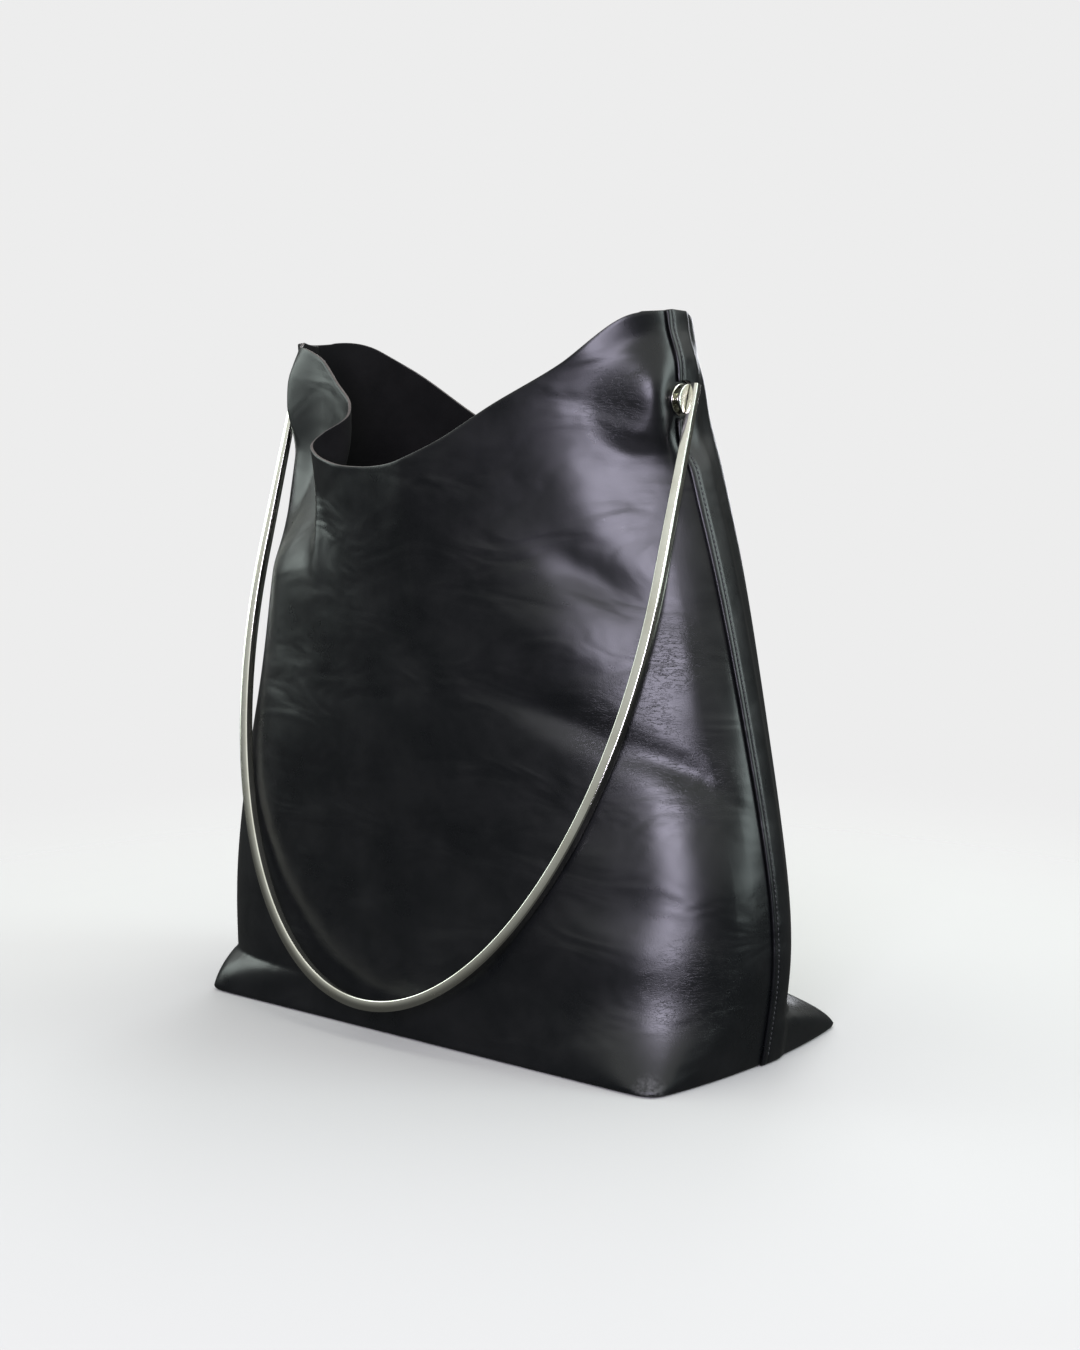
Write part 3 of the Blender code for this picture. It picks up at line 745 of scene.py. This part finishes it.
def cut_hole(target, name, end, radius, material):
    """Cuts the leather round one pivot; the hole's wall shows the raw edge."""
    cutter = cylinder(name, end, radius, material)
    modifier = target.modifiers.new(name, "BOOLEAN")
    modifier.operation = "DIFFERENCE"
    modifier.solver = "EXACT"
    modifier.material_mode = "TRANSFER"
    modifier.object = cutter
    graph = bpy.context.evaluated_depsgraph_get()
    cut = bpy.data.meshes.new_from_object(target.evaluated_get(graph))
    target.modifiers.remove(modifier)
    old, target.data = target.data, cut
    bpy.data.meshes.remove(old)
    bpy.data.objects.remove(cutter, do_unlink=True)


def stitches(name, end, material):
    """One row of short stitches along a seam, lying in the lap's groove."""
    rows = np.linspace(STITCH_LOW, STITCH_HIGH, STITCH_ROWS)
    grid, normals, _, inside = surface_grid("back", rows)
    half = len(inside) // 2
    columns = range(half) if end == "right" else range(half, len(inside))
    column = min(columns, key=lambda c: abs(inside[c]))
    lift = lap_profile("back", inside)[column]
    line = grid[:, column] + normals[:, column] * (lift + STITCH_LIFT)
    run = np.concatenate([[0], np.cumsum(np.linalg.norm(np.diff(line, axis=0), axis=1))])
    points, faces = [], []
    for k in range(int(run[-1] / STITCH_PITCH)):
        middle = (k + 0.5) * STITCH_PITCH
        before, at, after = (
            np.array([np.interp(place, run, line[:, axis]) for axis in range(3)])
            for place in (middle - STITCH_STEP, middle, middle + STITCH_STEP)
        )
        if math.hypot(at[1], at[2] - PIVOT_HEIGHT) < NOTCH_RADIUS + STITCH_CLEAR:
            continue
        direction = (after - before) / np.linalg.norm(after - before)
        normal = normals[np.searchsorted(run, middle), column]
        add_stitch(points, faces, at, direction, normal)
    return mesh_object(name, points, faces, [material])


def add_stitch(points, faces, middle, direction, normal, rings=7, sides=8):
    """A stitch: a rounded thread that dips into the leather at both ends."""
    across = np.cross(direction, normal)
    start = len(points)
    for i in range(rings):
        t = -1 + 2 * i / (rings - 1)
        radius = STITCH_RADIUS * math.sqrt(max(1 - abs(t) ** 3, STITCH_TIP))
        centre = middle + direction * t * STITCH_LENGTH / 2 - normal * STITCH_DIP * t * t
        for j in range(sides):
            turn = 2 * math.pi * j / sides
            points.append(centre + (across * math.cos(turn) + normal * math.sin(turn)) * radius)
    for i in range(rings - 1):
        for j in range(sides):
            k = (j + 1) % sides
            faces.append((start + i * sides + j, start + (i + 1) * sides + j,
                          start + (i + 1) * sides + k, start + i * sides + k))
    faces.append(tuple(start + j for j in range(sides)))
    faces.append(tuple(start + (rings - 1) * sides + j for j in reversed(range(sides))))


def base_leather(material):
    """The base panel, inside the walls' rolled feet."""
    ring = []
    for side in ("front", "back"):
        x, y, distance, length = section(side, 0.0)
        at = np.linspace(0, length, BASE_POINTS, endpoint=False)
        if side == "back":
            at = length - at
        edge = np.stack([np.interp(at, distance, x), np.interp(at, distance, y), np.zeros(len(at))], axis=1)
        ring.append(inset(edge, FOOT_HEM + BASE_GAP))
    ring = np.concatenate(ring)
    count = len(ring)
    low, high = ring + [0, 0, BASE_LIFT], ring + [0, 0, LEATHER]
    middle = [(0, 0, BASE_LIFT), (0, 0, LEATHER)]
    faces = []
    for i in range(count):
        k = (i + 1) % count
        faces.append((i, k, count + k, count + i))
        faces.append((k, i, 2 * count))
        faces.append((count + i, count + k, 2 * count + 1))
    made = mesh_object("base_leather", np.concatenate([low, high, middle]), faces, [material])
    face_outwards(made)
    return made


def hoop_point(at):
    """(x, distance below the pivots) at shares of the bar's centre line, from its right end to its left."""
    leg = HOOP_LEG + HOOP_END
    turns = np.linspace(0, math.pi, BOW_POINTS)
    across, below = HOOP_CENTRE + HOOP_HALF_WIDTH * np.cos(turns), HOOP_LEG + HOOP_DROP * np.sin(turns)
    bow = np.stack([across, below], axis=1)
    legs = np.linspace(0, leg, LEG_POINTS, endpoint=False)
    right = np.stack([np.full(LEG_POINTS, HOOP_CENTRE + HOOP_HALF_WIDTH), legs - HOOP_END], axis=1)
    left = np.stack([np.full(LEG_POINTS, HOOP_CENTRE - HOOP_HALF_WIDTH), legs[::-1] - HOOP_END], axis=1)
    path = np.concatenate([right, bow, left])
    run = np.concatenate([[0], np.cumsum(np.linalg.norm(np.diff(path, axis=0), axis=1))])
    return np.stack([np.interp(at * run[-1], run, path[:, axis]) for axis in range(2)], axis=1)


def bar_section(scale, corner_points=6):
    """The bar's rounded rectangle: (outwards, across)."""
    points = []
    for corner, (u, v) in enumerate(((1, 1), (-1, 1), (-1, -1), (1, -1))):
        for k in range(corner_points):
            turn = math.radians(90 * corner + 90 * k / (corner_points - 1))
            points.append((u * (BAR_WIDTH / 2 - BAR_CORNER) + BAR_CORNER * math.cos(turn),
                           v * (BAR_DEPTH / 2 - BAR_CORNER) + BAR_CORNER * math.sin(turn)))
    return np.array(points) * scale


def tilted(points):
    """Points given for a hoop that hangs straight down from the pivots, leaned forward at its foot."""
    points = np.asarray(points, float)
    cos, sin = math.cos(-HOOP_TILT), math.sin(-HOOP_TILT)
    x, y, z = points.T
    return np.stack([x, y * cos - z * sin, y * sin + z * cos + PIVOT_HEIGHT], axis=1)


def hoop_bar(material, steps=360):
    """The bar, swept along its centre line and slimmer towards its two ends."""
    path = hoop_point(np.linspace(0, 1, steps + 1))
    tangents = np.gradient(path, axis=0)
    tangents /= np.linalg.norm(tangents, axis=1)[:, None]
    rings = []
    for i, ((x, below), (tx, ts)) in enumerate(zip(path, tangents)):
        scale = BAR_END_SCALE + (1 - BAR_END_SCALE) * float(blend(-HOOP_END, BAR_TAPER, below))
        if i in (0, steps):
            scale *= BAR_TIP_SCALE
        outline = bar_section(scale)
        rings.append([(x + ts * out, across, -(below - tx * out)) for out, across in outline])
    count = len(rings[0])
    points = tilted(np.array(rings).reshape(-1, 3))
    faces = []
    for i in range(steps):
        for j in range(count):
            k = (j + 1) % count
            faces.append((i * count + j, i * count + k, (i + 1) * count + k, (i + 1) * count + j))
    faces.append(tuple(reversed(range(count))))
    faces.append(tuple(range(steps * count, (steps + 1) * count)))
    made = mesh_object("hoop_bar", points, faces, [material])
    face_outwards(made)
    made.data.set_sharp_from_angle(angle=SHARP_ANGLE)
    return made


def rounded(profile, radius, steps=4):
    """A turned profile with every corner rounded, as far as its edges are long enough for the radius."""
    made = []
    count = len(profile)
    for i, (x, r) in enumerate(profile):
        before, after = Vector(profile[i - 1]), Vector(profile[(i + 1) % count])
        here = Vector((x, r))
        first, second = before - here, after - here
        cut = min(radius, first.length * CORNER_LIMIT, second.length * CORNER_LIMIT)
        start, end = here + first.normalized() * cut, here + second.normalized() * cut
        for k in range(steps + 1):
            t = k / steps
            made.append(tuple(start * (1 - t) ** 2 + here * 2 * t * (1 - t) + end * t * t))
    return made


def turned(name, end, profile, radius, material, bar_frame=False):
    """A ring turned about the pivot axis; the profile's X runs outwards from the pivot wall's face."""
    sign = 1 if end == "right" else -1
    rings = rounded(profile, radius)
    count = len(rings)
    points = []
    for k in range(TURN_SEGMENTS):
        turn = 2 * math.pi * k / TURN_SEGMENTS
        for x, r in rings:
            points.append((PIVOT_WALL[end] + sign * x, r * math.cos(turn), r * math.sin(turn)))
    if bar_frame:
        points = tilted(points)
    else:
        points = np.array(points) + [0, 0, PIVOT_HEIGHT]
    faces = []
    for k in range(TURN_SEGMENTS):
        start, after = k * count, (k + 1) % TURN_SEGMENTS * count
        for j in range(count):
            i = (j + 1) % count
            faces.append((start + j, start + i, after + i, after + j))
    made = mesh_object(name, points, faces, [material])
    face_outwards(made)
    made.data.set_sharp_from_angle(angle=SHARP_ANGLE)
    return made


def pivot(end, metal):
    """Fine versions of the pivot's turned pieces: (name, body, profile, edge radius).

    A profile is a ring's outline as (distance outwards from the wall, radius).
    """
    eyelet = [(EYELET_PROUD, BORE_RADIUS), (EYELET_PROUD, 0.0094), (0.0010, 0.0100), (0.0003, 0.0100),
              (0.0003, TUBE_RADIUS), (-0.0049, TUBE_RADIUS), (-0.0049, BORE_RADIUS)]
    washer = [(-0.0038, HOLE_RADIUS), (-0.0038, 0.0090), (-0.0045, 0.0090), (-0.0048, 0.0084),
              (-0.0048, HOLE_RADIUS)]
    disc = [(0.0048, BORE_RADIUS), (0.0048, DISC_RADIUS), (0.0065, DISC_RADIUS), (0.0065, BORE_RADIUS)]
    neck = [(0.0016, BORE_RADIUS), (0.0016, NECK_RADIUS), (0.0045, NECK_RADIUS), (0.0045, BORE_RADIUS)]
    screw = [(-0.0074, 0.0012), (-0.0074, HEAD_RADIUS), (-0.0052, HEAD_RADIUS), (-0.0052, SHAFT_RADIUS),
             (0.0061, SHAFT_RADIUS), (0.0061, 0.0002), (-0.0060, 0.0002), (-0.0060, 0.0012)]
    for name, body, profile, radius in (
        ("eyelet_outer", "bag", eyelet, 0.0003),
        ("eyelet_inner", "bag", washer, 0.0002),
        ("hub_disc", "handle", disc, 0.0004),
        ("spacer", "handle", neck, 0.0002),
        ("pivot_screw", "handle", screw, 0.0004),
    ):
        made = turned(f"{end}_{name}_fine", end, profile, radius, metal, bar_frame=body == "handle")
        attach(made, body)
        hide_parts(f"{end}_{name}")


# ----------------------------------------------------------------------------------------------------
# Camera, stage and light
# ----------------------------------------------------------------------------------------------------

CAMERA_AZIMUTH = math.radians(40.711)
CAMERA_DISTANCE = 1.471
CAMERA_HEIGHT = 0.423
CAMERA_HEADING = math.radians(40.008)
CAMERA_PITCH = math.radians(7.735)
CAMERA_ROLL = math.radians(-0.232)
LENS = 60.48
SENSOR_WIDTH = 36
CLIP = (0.05, 50)
BAG_MIDDLE = Vector((-0.02, 0, 0.20))
BACKDROP = 0.847
ROOM_COLOUR = (0.97, 1.0, 0.96, 1)
ROOM_RISE = (0.10, 0.50)
ROOM_STRENGTH = (0.07, 0.95)
FLOOR_RADIUS = 1.6
FLOOR_SEGMENTS = 96
FLOOR_DROP = 0.0004
FLOOR_FADE = (0.24, 0.95)
FLOOR_TONE = (0.535, 0.528, 0.520)


def camera():
    """The photograph's view: placed round the bag, then aimed by heading, pitch and roll."""
    data = bpy.data.cameras.new("camera")
    data.lens = LENS
    data.sensor_width = SENSOR_WIDTH
    data.clip_start, data.clip_end = CLIP
    made = bpy.data.objects.new("camera", data)
    sin, cos = math.sin(CAMERA_HEADING), math.cos(CAMERA_HEADING)
    forward = Vector((-sin * math.cos(CAMERA_PITCH), cos * math.cos(CAMERA_PITCH), -math.sin(CAMERA_PITCH)))
    right = forward.cross(Vector((0, 0, 1))).normalized()
    up = right.cross(forward)
    turned_right = right * math.cos(CAMERA_ROLL) + up * math.sin(CAMERA_ROLL)
    turned_up = up * math.cos(CAMERA_ROLL) - right * math.sin(CAMERA_ROLL)
    place = Vector((math.sin(CAMERA_AZIMUTH) * CAMERA_DISTANCE, -math.cos(CAMERA_AZIMUTH) * CAMERA_DISTANCE,
                    CAMERA_HEIGHT))
    turn = Matrix((turned_right, turned_up, -forward)).transposed().to_4x4()
    made.matrix_world = Matrix.Translation(place) @ turn
    bpy.context.scene.collection.objects.link(made)
    bpy.context.scene.camera = made


def softbox(name, azimuth, elevation, distance, width, height, power, colour=(1, 1, 1)):
    """An area light aimed at the bag's middle; azimuth 0 is in front of the bag and 90 is to its right."""
    data = bpy.data.lights.new(name, "AREA")
    data.shape = "RECTANGLE"
    data.size, data.size_y = width, height
    data.energy = power
    data.color = colour
    made = bpy.data.objects.new(name, data)
    a, e = math.radians(azimuth), math.radians(elevation)
    away = Vector((math.sin(a) * math.cos(e), -math.cos(a) * math.cos(e), math.sin(e)))
    made.location = BAG_MIDDLE + away * distance
    made.rotation_euler = away.to_track_quat("Z", "Y").to_euler()
    bpy.context.scene.collection.objects.link(made)


def floor():
    """A plain pale floor that fades into the backdrop away from the bag."""
    work = bmesh.new()
    bmesh.ops.create_circle(work, cap_ends=True, segments=FLOOR_SEGMENTS, radius=FLOOR_RADIUS)
    mesh = bpy.data.meshes.new("floor")
    work.to_mesh(mesh)
    work.free()
    made = bpy.data.objects.new("floor", mesh)
    made.location.z = -FLOOR_DROP
    bpy.context.scene.collection.objects.link(made)
    n = Nodes("pale_floor")
    n.set(Roughness=1.0, Specular_IOR_Level=0.0, Base_Color=(*FLOOR_TONE, 1))
    length = n.add("ShaderNodeVectorMath", operation="LENGTH")
    n.link(n.position, length.inputs[0])
    clear = n.add("ShaderNodeBsdfTransparent")
    mix = n.add("ShaderNodeMixShader")
    n.link(n.remap(length.outputs["Value"], *FLOOR_FADE), mix.inputs[0])
    n.link(n.shader.outputs[0], mix.inputs[1])
    n.link(clear.outputs[0], mix.inputs[2])
    n.link(mix.outputs[0], n.tree.nodes["Material Output"].inputs["Surface"])
    mesh.materials.append(n.material)
    made.visible_glossy = False


def world():
    """A pale backdrop; the room that the bag reflects is dim at eye level and bright above."""
    made = bpy.data.worlds.new("studio")
    bpy.context.scene.world = made
    made.use_nodes = True
    tree = made.node_tree
    tree.nodes.clear()
    output = tree.nodes.new("ShaderNodeOutputWorld")
    seen = tree.nodes.new("ShaderNodeBackground")
    seen.inputs["Color"].default_value = (BACKDROP, BACKDROP, BACKDROP, 1)
    room = tree.nodes.new("ShaderNodeBackground")
    direction = tree.nodes.new("ShaderNodeTexCoord")
    parts = tree.nodes.new("ShaderNodeSeparateXYZ")
    tree.links.new(direction.outputs["Generated"], parts.inputs[0])
    upper = tree.nodes.new("ShaderNodeMapRange")
    upper.interpolation_type = "SMOOTHSTEP"
    for sockets, values in ((("From Min", "From Max"), ROOM_RISE), (("To Min", "To Max"), ROOM_STRENGTH)):
        for socket, value in zip(sockets, values):
            upper.inputs[socket].default_value = value
    tree.links.new(parts.outputs["Z"], upper.inputs["Value"])
    tree.links.new(upper.outputs["Result"], room.inputs["Strength"])
    room.inputs["Color"].default_value = ROOM_COLOUR
    path = tree.nodes.new("ShaderNodeLightPath")
    mix = tree.nodes.new("ShaderNodeMixShader")
    tree.links.new(path.outputs["Is Camera Ray"], mix.inputs[0])
    tree.links.new(room.outputs[0], mix.inputs[1])
    tree.links.new(seen.outputs[0], mix.inputs[2])
    tree.links.new(mix.outputs[0], output.inputs["Surface"])


def lights():
    """(name, azimuth, elevation, distance, width, height, power, colour) of each soft light."""
    softbox("front_softbox", 33, 15, 1.9, 0.70, 0.95, 28, (0.84, 0.80, 1.0))
    softbox("left_softbox", -72, 24, 1.9, 1.0, 1.2, 11, (0.88, 1.0, 0.95))
    softbox("right_softbox", 120, 20, 1.9, 0.8, 1.4, 16, (0.86, 1.0, 0.98))
    softbox("back_softbox", 212, 18, 1.9, 0.9, 1.2, 18, (0.92, 0.94, 1.0))
    softbox("top_softbox", 180, 70, 1.8, 1.4, 1.4, 12)


# ----------------------------------------------------------------------------------------------------
# Build
# ----------------------------------------------------------------------------------------------------


def soft_parts(leather, edge, flesh, thread):
    """The three leather panels, with the cuts round the pivots, and the seam stitches."""
    for side in ("front", "back"):
        made = panel(side, [leather, edge, flesh])
        radius = HOLE_RADIUS if side == "front" else NOTCH_RADIUS
        for end in PIVOT_WALL:
            cut_hole(made, f"{side}_{end}_cutter", end, radius, edge)
        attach(made, "bag")
        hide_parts(f"{side}_panel")
    made = base_leather(leather)
    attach(made, "bag")
    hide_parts("base_panel")
    for end in PIVOT_WALL:
        made = stitches(f"{end}_seam_stitches", end, thread)
        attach(made, "bag")


def metal_parts(metal):
    """The hoop and the turned pieces of its two pivots."""
    bar = hoop_bar(metal)
    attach(bar, "handle")
    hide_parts("handle_bar")
    for end in PIVOT_WALL:
        pivot(end, metal)


def cad_materials(leather, board):
    """The CAD nodes that stay get their finish here."""
    kept = {"base_board": board, "right_pivot_patch": leather, "left_pivot_patch": leather}
    for name, material in kept.items():
        node = frame["nodes"][name]
        node.data.materials.clear()
        node.data.materials.append(material)


def main():
    camera()
    world()
    lights()
    floor()
    leather, edge, flesh = glossy_leather(), raw_edge(), flesh_side()
    soft_parts(leather, edge, flesh, waxed_thread())
    metal_parts(polished_nickel())
    cad_materials(leather, grey_board())
    bpy.context.scene.view_settings.view_transform = "Standard"


main()
